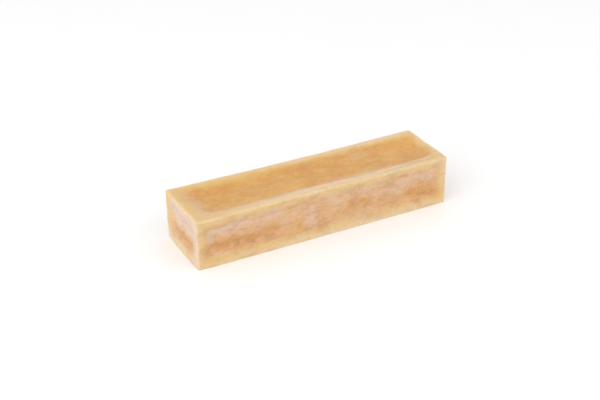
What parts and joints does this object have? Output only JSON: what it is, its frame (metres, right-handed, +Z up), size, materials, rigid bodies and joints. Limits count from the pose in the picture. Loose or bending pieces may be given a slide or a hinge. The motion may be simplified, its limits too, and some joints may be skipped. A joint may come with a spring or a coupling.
{
  "type": "hard dried-milk chew bar",
  "caption": "Hard amber bar of dried milk curd, a long square-edged block with sunken faces inside raised paler rims, lying flat.",
  "frame": {"origin": "middle of the underside, on the plane that the bar rests on", "axes": "+X along the bar's length, +Y from its front to its back, +Z up through its height"},
  "size_m": [0.14, 0.0364, 0.0265],
  "materials": {
    "dried_curd": "waxy satin, slightly translucent honey amber, with paler rims and a pinkish-white bloom"
  },
  "bodies": {
    "root": {"block": "dried_curd"}
  },
  "joints": []
}
